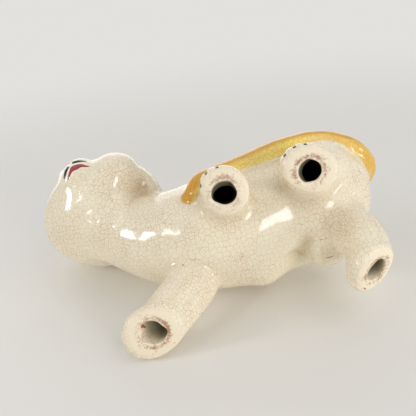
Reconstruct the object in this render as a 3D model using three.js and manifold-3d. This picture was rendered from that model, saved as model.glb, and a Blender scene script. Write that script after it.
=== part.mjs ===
// A walking cat figurine in slip-cast, crackle-glazed earthenware.
// Units are millimetres. +Z is up, the cat walks towards -X and its left flank is on -Y.
// The hollow body, head and legs are cast apart and luted together with slip, as are the ears and the tail.
import * as THREE from "three";
import { mergeVertices } from "three/addons/utils/BufferGeometryUtils.js";
import Module from "manifold-3d";

const wasm = await Module();
wasm.setup();

const radians = THREE.MathUtils.degToRad;

// Clay sizes shared by the pieces: wall, joint filled with slip, and pour hole in each sole.
const WALL = 4.5;
const SLIP_GAP = 0.3;
const POUR_HOLE_RADIUS = 5;

// Main sizes of the cat: from the neck to the rump, from the left soles to the right ones,
// and from the soles to the middle of the body. Places and girths of the body are shares of them.
const BODY_LENGTH = 125;
const FOOT_SPACING = 50;
const BODY_HEIGHT = 50;

function station(along, across, up) {
  return [BODY_LENGTH * along, FOOT_SPACING * across, BODY_HEIGHT * up];
}

function girth(across, up) {
  return [FOOT_SPACING * across, BODY_HEIGHT * up];
}

// Side of the block that trims the soles flat, larger than any paw.
const TRIM_BLOCK = 80;

// Body from the neck to the rump: middle, half width and half height of each oval ring.
const BODY_RINGS = [
  { at: station(-0.424, -0.19, 1.4), half: girth(0.35, 0.34) },
  { at: station(-0.264, -0.05, 1.16), half: girth(0.43, 0.46) },
  { at: station(-0.08, 0.03, 1), half: girth(0.53, 0.54) },
  { at: station(0.112, 0.04, 0.98), half: girth(0.59, 0.52) },
  { at: station(0.28, 0.02, 1.03), half: girth(0.6, 0.48) },
  { at: station(0.432, -0.01, 1.04), half: girth(0.54, 0.48) },
  { at: station(0.512, -0.12, 1.06), half: girth(0.42, 0.41) },
  { at: station(0.568, -0.23, 1.08), half: girth(0.25, 0.28) },
];
const RUMP_RISE = 6;
const HAUNCHES = [
  { at: station(0.408, 0.32, 0.92), half: station(0.128, 0.3, 0.38) },
  { at: station(0.44, -0.34, 0.92), half: station(0.136, 0.25, 0.38) },
];

// Head: its place, its turn to the left and its tilt. Its shapes are in its own frame, facing -X.
const HEAD_MIDDLE = new THREE.Vector3(...station(-0.46, -0.37, 1.5));
const HEAD_TURN = radians(66);
const HEAD_TILT = radians(4);
const HEAD_RINGS = [
  { at: [-4, -1, -21], half: [16, 13.5] },
  { at: [-3, -1, -12.5], half: [28.8, 23] },
  { at: [1, -1, -3], half: [32.8, 27.5] },
  { at: [3.5, -1, 6], half: [31.8, 28.5] },
  { at: [5, -1, 14.5], half: [26.8, 25.8] },
  { at: [5.5, -1, 21.5], half: [20, 19.5] },
];
const CHIN_RISE = 4;
const CROWN_RISE = 7;
const HEAD_HOLLOW = { at: [-1, -1, 0], half: [19, 24, 19] };
// The two whisker pads, the chin and the fuller left cheek.
const FACE_OVALS = [
  { at: [-22, -8.4, -7.5], half: [8, 7.4, 7.6] },
  { at: [-22, -1.4, -7.5], half: [8, 7.2, 7.6] },
  { at: [-20, -4.8, -14], half: [8, 8.5, 6.5] },
  { at: [-9.5, -18.5, -7], half: [13.6, 14.5, 14] },
];

// Ears in the head's frame: this is the right one, and the left one is its mirror image.
const EAR_RINGS = [
  { at: [2, 14, 15], half: [12.5, 7.5] },
  { at: [2, 17.5, 25], half: [9.5, 5.2] },
  { at: [2, 21, 34], half: [3.4, 2.4] },
];
const EAR_TIP_RISE = 2.5;
const EAR_HOLLOW = { at: [-5, 17.5, 26], half: [5, 5.5, 8] };

// Legs: rings from inside the body down to the ankle, then the sole with the way its toes point,
// the half length and half width of its paw, and how far the paw reaches ahead of the pour hole.
// Rings and soles are level, except near the sole of the right hind leg, which is pushing off.
const PUSHING_ANKLE = [0.25, 0.3, -0.92];
const PUSHING_SOLE = [0.44, 0.46, -0.77];
const PAW_LIFT = 4;
const PAW_HALF_HEIGHT = 9;
const LEGS = {
  left_front_leg: {
    rings: [
      { at: station(0.072, -0.24, 0.84), half: [12, 12] },
      { at: station(0.076, -0.4, 0.44), half: [10, 10] },
      { at: station(0.08, -0.5, 0.16), half: [9.6, 9.6] },
    ],
    sole: { at: station(0.0816, -0.51, 0), toes: radians(231), half: [11, 10.4], ahead: 0.5 },
  },
  right_front_leg: {
    rings: [
      { at: station(-0.056, 0.18, 0.92), half: [13, 14] },
      { at: station(-0.1424, 0.368, 0.44), half: [11.4, 12.2] },
      { at: station(-0.2344, 0.478, 0.16), half: [10.8, 11.6] },
    ],
    sole: { at: station(-0.28, 0.52, 0), toes: radians(155), half: [13.8, 11.6], ahead: 1.5 },
  },
  left_hind_leg: {
    rings: [
      { at: station(0.4, -0.24, 0.88), half: [13, 14] },
      { at: station(0.388, -0.4, 0.44), half: [10.8, 11.5] },
      { at: station(0.376, -0.49, 0.16), half: [9.8, 10.6] },
    ],
    sole: { at: station(0.3704, -0.506, 0), toes: radians(205), half: [13, 10.9], ahead: 0.5 },
  },
  right_hind_leg: {
    rings: [
      { at: station(0.432, 0.14, 0.92), half: [13, 13] },
      { at: station(0.504, 0.256, 0.54), half: [11.2, 11] },
      { at: station(0.5248, 0.39, 0.31), half: [10.4, 10.2], facing: PUSHING_ANKLE },
    ],
    sole: {
      at: station(0.5216, 0.508, 0.116),
      toes: radians(105),
      half: [12.3, 11],
      ahead: 0.5,
      facing: PUSHING_SOLE,
    },
  },
};

// Tail: a roll of clay from the rump round the left flank to the front of the left front leg.
const TAIL_ROOT_RADIUS = 3.4;
const TAIL_TIP_RADIUS = 4.6;
const TAIL_PATH = [
  station(0.496, 0, 1.24),
  station(0.596, 0.01, 1.26),
  station(0.6544, -0.15, 1.16),
  station(0.616, -0.41, 1.03),
  station(0.484, -0.6, 0.94),
  station(0.328, -0.626, 0.92),
  station(0.204, -0.58, 0.88),
  station(0.056, -0.54, 0.81),
  station(-0.008, -0.516, 0.76),
  station(-0.044, -0.45, 0.69),
];

// Fineness of the skins: sides of a ring, and steps from one ring to the next.
const SKIN = { sides: 30, steps: 3 };
const LIMB = { sides: 20, steps: 3 };
const ROLL = { sides: 12, steps: 3 };
const INSIDE = { sides: 14, steps: 2 };
const OVAL_SIDES = 22;

// Glaze and clay colours.
const CREAM = { color: 0xefe5c9, roughness: 0.22, metalness: 0 };
const YELLOW = { color: 0xe3bd5f, roughness: 0.22, metalness: 0 };

const UP = new THREE.Vector3(0, 0, 1);
const DOWN = new THREE.Vector3(0, 0, -1);
const AHEAD = new THREE.Vector3(-1, 0, 0);

const HEAD_POSE = new THREE.Euler(HEAD_TILT, 0, HEAD_TURN, "ZXY");
const HEAD_PLACE = new THREE.Matrix4().makeRotationFromEuler(HEAD_POSE).setPosition(HEAD_MIDDLE);

// A curve through one property of every ring.
function through(rings, pick) {
  return new THREE.CatmullRomCurve3(rings.map((ring) => new THREE.Vector3(...pick(ring))));
}

// Closed skin over oval rings. They are square to their path, or turned to a facing where one is given.
// Each end is flat, or domed by its own rise. Growing widens the rings and raises the domes.
function loft(rings, { sides, steps }, { facing, heading = UP, domes = [0, 0], grow = 0 } = {}) {
  const path = through(rings, (ring) => ring.at);
  const sizes = through(rings, (ring) => [ring.half[0] + grow, ring.half[1] + grow, 0]);
  const facings = facing && through(rings, (ring) => ring.facing ?? facing.toArray());
  const normalAt = (t) => (facings ? facings.getPoint(t).normalize() : path.getTangent(t));
  const points = [];
  const addRing = (middle, normal, size) => {
    const across = new THREE.Vector3().crossVectors(heading, normal).normalize();
    const along = new THREE.Vector3().crossVectors(normal, across);
    for (let side = 0; side < sides; side += 1) {
      const angle = (2 * Math.PI * side) / sides;
      const point = middle.clone().addScaledVector(across, size.x * Math.cos(angle));
      points.push(point.addScaledVector(along, size.y * Math.sin(angle)));
    }
  };
  const [startRise, endRise] = domes.map((rise) => (rise > 0 ? rise + grow : 0));
  const domePoint = (t, rise) => path.getPoint(t).addScaledVector(normalAt(t), rise);
  const addDomeRing = (t, rise, part) => {
    const angle = (Math.PI / 2) * part;
    const size = sizes.getPoint(t).multiplyScalar(Math.cos(angle));
    addRing(domePoint(t, rise * Math.sin(angle)), normalAt(t), size);
  };
  for (let step = steps - 1; startRise > 0 && step > 0; step -= 1) {
    addDomeRing(0, -startRise, step / steps);
  }
  const count = (rings.length - 1) * steps;
  for (let step = 0; step <= count; step += 1) {
    const t = step / count;
    addRing(path.getPoint(t), normalAt(t), sizes.getPoint(t));
  }
  for (let step = 1; endRise > 0 && step < steps; step += 1) {
    addDomeRing(1, endRise, step / steps);
  }
  const lastRing = points.length - sides;
  const startTip = points.push(domePoint(0, -startRise)) - 1;
  const endTip = points.push(domePoint(1, endRise)) - 1;
  const faces = [];
  for (let side = 0; side < sides; side += 1) {
    const next = (side + 1) % sides;
    faces.push(startTip, next, side);
    for (let ring = 0; ring < lastRing; ring += sides) {
      faces.push(ring + side, ring + next, ring + sides + next);
      faces.push(ring + side, ring + sides + next, ring + sides + side);
    }
    faces.push(endTip, lastRing + side, lastRing + next);
  }
  return new THREE.BufferGeometry().setFromPoints(points).setIndex(faces);
}

function oval({ at, half }, grow = 0) {
  const geometry = new THREE.SphereGeometry(1, OVAL_SIDES, OVAL_SIDES / 2);
  geometry.scale(half[0] + grow, half[1] + grow, half[2] + grow);
  return geometry.translate(...at);
}

// A closed geometry as a solid that can be joined and cut.
function solid(geometry) {
  const plain = geometry.clone();
  plain.deleteAttribute("normal");
  plain.deleteAttribute("uv");
  const merged = mergeVertices(plain);
  const vertProperties = new Float32Array(merged.attributes.position.array);
  const triVerts = new Uint32Array(merged.index.array);
  return new wasm.Manifold(new wasm.Mesh({ numProp: 3, vertProperties, triVerts }));
}

function joined(solids) {
  return solids.reduce((whole, piece) => whole.add(piece));
}

function cut(whole, tools) {
  return tools.reduce((rest, tool) => rest.subtract(tool), whole);
}

function piece(name, body, finish) {
  const { vertProperties, triVerts } = body.getMesh();
  const geometry = new THREE.BufferGeometry();
  geometry.setAttribute("position", new THREE.BufferAttribute(vertProperties, 3));
  geometry.setIndex(new THREE.BufferAttribute(triVerts, 1));
  geometry.computeVertexNormals();
  const mesh = new THREE.Mesh(geometry, new THREE.MeshStandardMaterial(finish));
  mesh.name = name;
  return mesh;
}

function ovalSolid(shape, grow, place = new THREE.Matrix4()) {
  return solid(oval(shape, grow).applyMatrix4(place));
}

function bodySolid(grow) {
  const trunk = solid(loft(BODY_RINGS, SKIN, { domes: [0, RUMP_RISE], grow }));
  return joined([trunk, ...HAUNCHES.map((shape) => ovalSolid(shape, grow))]);
}

function bodyHollow() {
  return solid(loft(BODY_RINGS, INSIDE, { domes: [0, RUMP_RISE], grow: -WALL }));
}

function headSolid(grow) {
  const shape = { facing: UP, heading: AHEAD, domes: [CHIN_RISE, CROWN_RISE], grow };
  const skull = solid(loft(HEAD_RINGS, SKIN, shape).applyMatrix4(HEAD_PLACE));
  return joined([skull, ...FACE_OVALS.map((face) => ovalSolid(face, grow, HEAD_PLACE))]);
}

function earSolid(side) {
  const mirror = ([x, y, z]) => [x, side * y, z];
  const rings = EAR_RINGS.map((ring) => ({ ...ring, at: mirror(ring.at) }));
  const skin = loft(rings, ROLL, { facing: UP, heading: AHEAD, domes: [0, EAR_TIP_RISE] });
  const hollow = { ...EAR_HOLLOW, at: mirror(EAR_HOLLOW.at) };
  return solid(skin.applyMatrix4(HEAD_PLACE)).subtract(ovalSolid(hollow, 0, HEAD_PLACE));
}

// The frame of a sole: its toes point along x and its leg goes up along z.
function soleFrame({ at, toes, facing = DOWN.toArray() }) {
  const up = new THREE.Vector3(...facing).negate().normalize();
  const side = new THREE.Vector3(Math.cos(toes), Math.sin(toes), 0).cross(up).negate().normalize();
  const toe = new THREE.Vector3().crossVectors(side, up);
  return new THREE.Matrix4().makeBasis(toe, side, up).setPosition(...at);
}

// The leg's rings, run on through the middle of the sole.
function legColumn({ rings, sole }) {
  const { at: ankle, half } = rings.at(-1);
  const facing = sole.facing ?? DOWN.toArray();
  const middle = new THREE.Vector3(...sole.at);
  const below = middle.clone().sub(new THREE.Vector3(...ankle)).setLength(WALL).add(middle);
  return [...rings, { at: sole.at, half, facing }, { at: below.toArray(), half, facing }];
}

// The block under a sole, whose top is the plane of that frame.
function trimBlock(frame) {
  const block = new THREE.BoxGeometry(TRIM_BLOCK, TRIM_BLOCK, TRIM_BLOCK).translate(0, 0, -TRIM_BLOCK / 2);
  return solid(block.applyMatrix4(frame));
}

function legSolid(leg, grow) {
  const { half, ahead } = leg.sole;
  const frame = soleFrame(leg.sole);
  const column = solid(loft(legColumn(leg), LIMB, { facing: DOWN, heading: AHEAD, grow }));
  const paw = ovalSolid({ at: [ahead, 0, PAW_LIFT], half: [...half, PAW_HALF_HEIGHT] }, grow, frame);
  const ground = new THREE.Matrix4().setPosition(leg.sole.at[0], leg.sole.at[1], 0);
  return cut(joined([column, paw]), [trimBlock(frame), trimBlock(ground)]);
}

// The pour hole runs from under the sole to the hollow of the body.
function legBore(leg) {
  const rings = legColumn(leg).map((ring) => ({ ...ring, half: [POUR_HOLE_RADIUS, POUR_HOLE_RADIUS] }));
  return solid(loft(rings, INSIDE, { facing: DOWN, heading: AHEAD }));
}

function tailSolid() {
  const rings = TAIL_PATH.map((at, index) => {
    const radius = THREE.MathUtils.lerp(TAIL_ROOT_RADIUS, TAIL_TIP_RADIUS, index / (TAIL_PATH.length - 1));
    return { at, half: [radius, radius] };
  });
  return solid(loft(rings, ROLL, { domes: [0, TAIL_TIP_RADIUS] }));
}

const grownHead = headSolid(SLIP_GAP);
const grownBody = bodySolid(SLIP_GAP);
const hollowBody = bodyHollow();
const bores = Object.values(LEGS).map(legBore);

const cat = new THREE.Group();
cat.add(piece("torso", cut(bodySolid(0), [grownHead, hollowBody, ...bores]), CREAM));
cat.add(piece("head", cut(headSolid(0), [ovalSolid(HEAD_HOLLOW, 0, HEAD_PLACE), hollowBody]), CREAM));
cat.add(piece("left_ear", cut(earSolid(-1), [grownHead]), CREAM));
cat.add(piece("right_ear", cut(earSolid(1), [grownHead]), CREAM));
Object.entries(LEGS).forEach(([name, leg], index) => {
  cat.add(piece(name, cut(legSolid(leg, 0), [grownBody, bores[index]]), CREAM));
});
const grownLegs = Object.values(LEGS).map((leg) => legSolid(leg, SLIP_GAP));
cat.add(piece("tail", cut(tailSolid(), [grownBody, ...grownLegs]), YELLOW));

// The origin is the middle of the foot of the bounding box.
const box = new THREE.Box3().setFromObject(cat);
const middle = box.getCenter(new THREE.Vector3());
cat.position.set(-middle.x, -middle.y, -box.min.z);

const figurine = new THREE.Group();
figurine.add(cat);

export default figurine;
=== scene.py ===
import math

import bpy
import numpy as np
from bpy.props import FloatProperty, FloatVectorProperty, IntProperty, PointerProperty
from mathutils import Matrix, Vector
from mathutils.bvhtree import BVHTree


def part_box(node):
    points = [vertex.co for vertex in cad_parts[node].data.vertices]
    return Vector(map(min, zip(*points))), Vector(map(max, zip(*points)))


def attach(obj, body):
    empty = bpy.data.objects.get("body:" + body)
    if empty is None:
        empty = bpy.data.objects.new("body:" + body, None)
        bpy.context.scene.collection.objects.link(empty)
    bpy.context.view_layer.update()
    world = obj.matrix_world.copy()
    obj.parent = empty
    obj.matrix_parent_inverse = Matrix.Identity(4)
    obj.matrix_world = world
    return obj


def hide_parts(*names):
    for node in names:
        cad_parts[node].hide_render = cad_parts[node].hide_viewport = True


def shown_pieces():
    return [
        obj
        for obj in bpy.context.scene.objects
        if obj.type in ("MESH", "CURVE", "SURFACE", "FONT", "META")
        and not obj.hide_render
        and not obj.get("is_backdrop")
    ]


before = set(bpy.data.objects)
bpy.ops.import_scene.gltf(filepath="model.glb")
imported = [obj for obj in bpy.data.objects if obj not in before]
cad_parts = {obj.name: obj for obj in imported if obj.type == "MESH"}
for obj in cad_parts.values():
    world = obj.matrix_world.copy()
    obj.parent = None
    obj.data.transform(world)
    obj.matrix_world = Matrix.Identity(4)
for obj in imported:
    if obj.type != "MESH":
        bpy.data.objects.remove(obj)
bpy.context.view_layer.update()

bl_info = {
    "name": "Crackle glazed cat",
    "version": (1, 0, 0),
    "blender": (4, 5, 0),
    "location": "View3D > Sidebar > Cat",
    "description": "A slip-cast earthenware cat in a walking pose, with a crackled cream glaze",
    "category": "Add Mesh",
}

MM = 0.001
EARS = ("left_ear", "right_ear")
CLAY_NODES = (
    "torso", "head", *EARS,
    "left_front_leg", "right_front_leg", "left_hind_leg", "right_hind_leg",
)

# Soles of the legs, in millimetres and degrees. facing: the way the sole looks. lean: how far its pour hole
# leans for each millimetre up the leg. sleeve: the clay seen in the hole, as its lean, depth and taper.
# radius, rough: the size of the hole and how unevenly it was cut. grooves: bearings of the toe grooves.
# stroke: how low and how high the painted toe strokes run. stain: bearing and spread of the brown stain.
# hole_shade: how much painted shade darkens the sleeve. bare: how bare of glaze the sole is. pared: where the
# paw was pared back, as a bearing, a spread and a depth.
LEVEL = (0.0, 0.0, -1.0)
SOLES = {
    "left_front_leg": {
        "facing": LEVEL, "lean": (-0.02, 0.06), "sleeve": (-0.02, 0.58, 7.0, 1.0), "radius": 5.15,
        "rough": 0.16, "grooves": (210.0, 241.0, 269.0), "stroke": (1.9, 5.2), "stain": (275.0, 60.0),
        "hole_shade": 0.68, "bare": 0.75, "pared": (170.0, 55.0, 1.9),
    },
    "right_front_leg": {
        "facing": LEVEL, "lean": (0.71, -0.26), "sleeve": (0.71, -0.26, 14.0, 1.0), "radius": 5.6,
        "rough": 0.3, "grooves": (166.0, 147.0, 127.0), "stroke": (4.2, 8.0), "stain": (30.0, 120.0),
        "hole_shade": 0.3, "bare": 1.0, "pared": (0.0, 60.0, 0.0),
    },
    "left_hind_leg": {
        "facing": LEVEL, "lean": (0.09, 0.1), "sleeve": (0.36, 0.29, 7.0, 0.95), "radius": 4.8,
        "rough": 0.14, "grooves": (226.0, 251.0, 275.0), "stroke": (1.9, 5.2), "stain": (280.0, 150.0),
        "hole_shade": 0.72, "bare": 1.0, "pared": (145.0, 75.0, 2.8),
    },
    "right_hind_leg": {
        "facing": (0.44, 0.46, -0.77), "lean": (0.53, -0.01), "sleeve": (0.5, 0.0, 12.0, 1.0), "radius": 5.4,
        "rough": 0.14, "grooves": (98.0, 122.0, 146.0), "stroke": (4.2, 8.0), "stain": (250.0, 110.0),
        "hole_shade": 0.2, "bare": 1.0, "pared": (0.0, 60.0, 0.0),
    },
}


def sole_axes(sole):
    """The toe, side and up directions of a sole at bearing nought."""
    up = -Vector(sole["facing"]).normalized()
    ahead = Vector((1, 0, 0))
    ahead = (ahead - up * ahead.dot(up)).normalized()
    return ahead, up.cross(ahead), up


def sole_hole(name, sole, hole=7.5):
    """The middle of a leg's pour hole in its sole's plane, in millimetres: a circle fitted to the rim."""
    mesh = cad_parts[name].data
    points = np.array([vertex.co for vertex in mesh.vertices]) / MM
    flat = points @ np.array(sole_axes(sole)).T
    level = flat[:, 2].min()
    rim = np.unique(np.round(flat[flat[:, 2] < level + 0.02, :2], 3), axis=0)
    middle = rim.mean(axis=0)
    for _ in range(8):
        near = rim[np.linalg.norm(rim - middle, axis=1) < hole]
        terms = np.column_stack([2 * near, np.ones(len(near))])
        middle = np.linalg.lstsq(terms, np.sum(near**2, axis=1), rcond=None)[0][:2]
    return Vector(np.array([*middle, level]) @ np.array(sole_axes(sole)))


for leg, sole in SOLES.items():
    sole["hole"] = sole_hole(leg, sole)

# Where the CAD source's own origin lies in the frame, found from the left front sole.
SHIFT = SOLES["left_front_leg"]["hole"] - Vector((10.2, -25.5, 0.0))

# The head's own frame: it faces -X, its left is -Y, and its middle is in millimetres.
HEAD_TURN = Matrix.Rotation(math.radians(66), 4, "Z") @ Matrix.Rotation(math.radians(4), 4, "X")
HEAD_PLACE = Matrix.Translation(SHIFT + Vector((-57.5, -18.5, 75.0))) @ HEAD_TURN

# The photograph's camera: its place in millimetres, its axes and its focal length in pixels.
EYE = SHIFT + Vector((15.61, -71.24, -243.66))
CAMERA_RIGHT = Vector((0.966, 0.259, 0.0)).normalized()
CAMERA_BACK = Vector((0.054, -0.201, -0.978)).normalized()
CAMERA_UP = CAMERA_BACK.cross(CAMERA_RIGHT).normalized()
PICTURE = 416
FOCAL_PIXELS = 604

# The trimmed soles: how high the leg is cut, then the edges of the ring of clay below that, each as steps
# outward from the paw's outline or the pour hole, and up from the sole.
SOLE_BED = 2.5
SOLE_EDGE = (
    (-1.2, 4.6), (-0.2, 3.8), (0.04, 3.1), (0.02, 2.5), (-0.14, 1.8),
    (-0.45, 1.15), (-0.95, 0.6), (-1.6, 0.25), (-2.3, 0.07), (-3.0, 0.0),
)
HOLE_EDGE = ((1.2, 0.0), (0.55, 0.03), (0.24, 0.14), (0.07, 0.36), (0.0, 0.7), (0.0, 1.2))
SLEEVE_WALL = 0.6

# How far from the middle of a pour hole the glaze was wiped off, and over what width it comes back.
WIPED_REACH = 12.0
WIPED_BLUR = 2.4

# How uneven the cells of the crackle are: 0 makes a grid. Then the step along the normal, as a share of a
# cell, by which the slant of their walls is measured, and how the glaze bends light.
CRACK_CHANCE = 0.75
SLANT_STEP = 0.12
GLAZE_IOR = 1.52

# How far from the middle line of a pour hole its wall can lie, how far a paw reaches from there, and how far
# is well clear of it, then the same two for its toes, in millimetres.
HOLE_REACH = 6.1
PAW_REACH = 18
PAW_CLEAR = 22
TOE_REACH = 20
TOE_CLEAR = 24

# Rounds of smoothing, first to take off facets and then to find the hollows where glaze pools and painted
# shade darkens them, and how deep a hollow is full of both, in millimetres. Then how fast wiped slip fills a
# hollow and wears a ridge in a round.
FACET_ROUNDS = 22
POOL_AND_SHADE_ROUNDS = 90
POOL_AND_SHADE_DEPTH = 1.9
FILL_SHARE = 0.7
WEAR_SHARE = 0.04

# How far from the rolled tail its slip and colour reach, what counts as far from it, how thick its glaze is,
# and how deep in the clay the rim and the underside of that glaze lie, in millimetres.
TAIL_EDGE = 2.6
TAIL_FAR = 9.0
TAIL_GLAZE = 0.3
TAIL_RIM = 0.2
TAIL_SUNK = 1.0

# Where the spray gun strayed off the tail, or missed it: a pixel of the photograph, a radius and a reach in
# millimetres.
STRAYED = (((369, 173), 7.0, 4.5), ((201, 208), 4.0, -4.0))

# Where the clay was thumbed in or built up: a pixel of the photograph, a radius, and the push to the
# picture's right, up and towards the eye, in millimetres. The push fades faster with a larger fade.
PRESS_FADE = 1.2
PRESSES = (
    ((138, 188), 8.0, (0.0, 0.0, -5.5)),
    ((97, 257), 10.0, (0.0, 0.0, 6.5)),
    ((95, 244), 9.0, (0.0, 0.0, 1.2)),
    ((97, 231), 9.0, (0.0, 0.0, 2.8)),
    ((106, 219), 10.0, (0.0, 0.0, 2.6)),
    ((185, 194), 7.0, (2.2, -0.3, 0.0)),
    ((70.5, 168.5), 6.0, (-1.5, 1.1, 0.0)),
    ((300, 256), 6.0, (0.0, 0.0, -4.0)),
    ((306, 243), 6.0, (0.0, 0.0, -2.6)),
)

# The same for whole flanks, where the push reaches deeper along the line of sight by this factor.
FLANK_PRESSES = (
    ((293, 265), 6.5, (0.3, 4.2, 0.0)),
    ((268, 277), 8.0, (0.0, -2.6, 0.0)),
)
FLANK_DEPTH = 4.0

# Creases that were wiped to a wide fillet: a pixel of the photograph and a radius in millimetres.
WIPED = (((100, 258), 12.0), ((99, 245), 12.0), ((100, 232), 12.0), ((106, 219), 12.0))
WIPED_ROUNDS = 400

# Where the clay was sponged smooth: a pixel of the photograph and a radius in millimetres.
SPONGED = (((66, 206), 12.0), ((84, 210), 11.0), ((95, 222), 10.0), ((112, 188), 10.0), ((77, 193), 8.0))
SPONGED_ROUNDS = 160

# How deep and how wide the ears were thumbed in, in millimetres.
EAR_HOLLOW = 2.2
EAR_WIDTH = 4.2

# The painted face, in the head's frame: its middle line and the places of eyes and nose in millimetres, the
# tilt of the eyes in degrees, and how pointed their corners are.
FACE_LINE = -4.9
EYE_APART = 11.5
EYE_LEVEL = 6.0
EYE_TILT = 14
EYE_POINT = 1.35
NOSE_LEVEL = -0.6

# Painted lines that the photograph shows, by its pixels, with widths in millimetres along each.
MOUTH_LINE = ((68.3, 179.2), (70.8, 171.5), (74.5, 167.5), (81, 165.6), (89.5, 166.3))
MOUTH_WIDTHS = (0.5, 1.9, 4.6, 2.8, 0.5)
MUZZLE_LINES = (
    (((64.2, 179), (65.8, 172), (68.6, 166.8)), (0.9, 2.6, 2.2)),
    (((72.2, 163.0), (78.2, 161.2), (86.2, 161.5)), (2.5, 2.1, 0.5)),
)
TOOTH_LINE = ((66.4, 178), (68.2, 171), (71.2, 165.6), (79, 163.6), (87, 164))
TOOTH_WIDTHS = (0.6, 1.8, 2.2, 1.8, 0.6)
LIP_PIXEL = (69.6, 165.2)
LIP_SHARE = 0.75
HAUNCH_LINE = ((325.5, 258.2), (333.0, 256.2))

# Paint: how deep its underside and its edge lie in the glaze, so that no gap shows, and the widths along a
# toe stroke, in millimetres.
PAINT_SUNK = 0.25
PAINT_EDGE = 0.03
TOE_WIDTHS = (1.5, 1.9, 1.5, 0.5)

# Specks of iron in the glaze, by the photograph's pixels, with a radius in pixels.
RUST_SPECKS = ((365.0, 288.6, 1.1), (183.0, 265.0, 0.9), (143.3, 326.4, 2.3))

# The stage: which way is up for the lying cat, the half width of the floors in metres, and the light. Lamps
# have a direction from their target, a distance, a width and a height in millimetres, and a power in watts.
LYING_UP = Vector((0.15, -0.95, -0.265)).normalized()
FLOOR_REACH = 0.6
SKY_LIGHT = 0.42
LAMP_TARGET = Vector((0.0, 0.0, 45.0))
LAMPS = (
    ("left_window", CAMERA_BACK * 0.36 + CAMERA_UP * 0.1 - CAMERA_RIGHT * 0.93, 800, 200, 150, 1.4),
    ("left_pane", CAMERA_BACK * 0.68 + CAMERA_UP * 0.2 - CAMERA_RIGHT * 0.7, 700, 130, 45, 0.25),
    ("left_room", CAMERA_BACK * 0.5 + CAMERA_UP * 0.5 - CAMERA_RIGHT * 0.7, 900, 600, 600, 0.7),
    ("right_window", CAMERA_BACK * 0.88 - CAMERA_UP * 0.12 + CAMERA_RIGHT * 0.45, 700, 190, 190, 0.95),
    ("right_pane", CAMERA_BACK * 0.4 - CAMERA_UP * 0.15 + CAMERA_RIGHT * 0.9, 800, 120, 120, 0.4),
    ("right_room", CAMERA_BACK * 0.5 - CAMERA_UP * 0.3 + CAMERA_RIGHT * 0.8, 900, 900, 900, 2.7),
    ("right_top", CAMERA_BACK * 0.6 + CAMERA_UP * 0.6 + CAMERA_RIGHT * 0.55, 900, 700, 700, 1.6),
    ("wall", Vector((0.2, -0.9, 0.35)), 1000, 1400, 1400, 3.0),
    ("top_softbox", Vector((-0.15, -0.25, 0.94)), 900, 1200, 1200, 4.2),
    ("back_softbox", Vector((-0.4, 0.8, 0.5)), 900, 900, 900, 2.4),
)


def linear(hex_colour):
    """An sRGB hex colour as the linear colour that the shaders take."""
    parts = [int(hex_colour[i : i + 2], 16) / 255 for i in (0, 2, 4)]
    return [c / 12.92 if c <= 0.04045 else ((c + 0.055) / 1.055) ** 2.4 for c in parts]


def length(name, description, millimetres):
    """A size that a user may change, given in millimetres."""
    metres = millimetres * MM
    return FloatProperty(name=name, description=description, default=metres, unit="LENGTH", precision=5)


def colour(name, description, hex_colour):
    """A colour that a user may change."""
    look = {"subtype": "COLOR", "min": 0, "max": 1}
    return FloatVectorProperty(name=name, description=description, default=linear(hex_colour), **look)


class CatSizes(bpy.types.PropertyGroup):
    """Sizes of the clay, the paint and the crackle."""

    skin_step: length("Skin step", "Spacing of the points of the clay skin", 0.85)
    slip: length("Slip", "How far the cast pieces run into each other where they are luted", 0.45)
    groove_depth: length("Groove depth", "Depth of the grooves between the toes", 0.7)
    groove_width: length("Groove width", "Width of the grooves between the toes", 1.4)
    hand: length("Hand finish", "How uneven the sponged clay is", 0.12)
    crackle: length("Crackle cell", "Width of a wide cell of the crackle in the cream glaze", 2.5)
    tail_crackle: length("Tail crackle cell", "Width of a wide cell of the crackle in the yellow glaze", 2.3)
    crack_width: length("Crack width", "Width of the stained cracks in the glaze", 0.14)
    fillet_rounds: IntProperty(
        name="Fillet rounds", description="How often the slip in the joints is wiped", default=45, min=0
    )


class CatColours(bpy.types.PropertyGroup):
    """Colours of the glazes, the clay and the paint."""

    cream: colour("Cream glaze", "Clear glaze over the pale clay", "F5EDD5")
    # Pooled glaze, also laid in the hollows as painted shade.
    pooled_and_shaded: colour("Pooled glaze", "Glaze that gathered in the hollows", "D8C6A0")
    crack: colour("Crack", "Stained lines of the crackle", "AE6844")
    yellow: colour("Yellow glaze", "Sprayed colour of the tail", "FBE07C")
    # Amber: toward the tip, at the rump, and on the faces of the tail turned to -Y.
    amber: colour("Amber glaze", "Where the tail's colour lies thickest", "DCA024")
    tail_crack: colour("Tail crack", "Stained lines of the crackle in the yellow glaze", "9A7434")
    bisque: colour("Bisque", "Unglazed clay of the soles", "F4E6CC")
    stain: colour("Stain", "Brown stain round the pour holes", "98582F")
    inner: colour("Inner clay", "Unglazed clay inside the legs", "B3A98B")
    # Painted shade: near black laid on the clay deep inside the cat and in the sleeves of the pour holes.
    deep: colour("Deep clay", "Sooty clay deep inside the cat", "2C2519")
    rust: colour("Rust", "Specks of iron in the glaze", "A06040")
    black: colour("Black enamel", "Painted lines", "16150F")
    red: colour("Red enamel", "Painted mouth", "98152D")
    green: colour("Green enamel", "Painted irises", "6E8F3A")
    white: colour("White enamel", "Painted whites", "F4F1E6")
    pink: colour("Pink enamel", "Painted nose and ears", "D98C86")
    floor: colour("Floor", "Paper on which the cat stands or lies", "E9E7E3")
    backdrop: colour("Backdrop", "Plain background", "E2E1DE")


def sizes():
    return bpy.context.scene.cat_sizes


def colours():
    return bpy.context.scene.cat_colours


# Mesh tools. They work in millimetres on arrays of points.


def rows_of(items, key, width, kind=float):
    """One value of each item of a mesh, as the rows of an array."""
    flat = np.empty(len(items) * width, dtype=kind)
    items.foreach_get(key, flat)
    return flat.reshape(-1, width)


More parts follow.
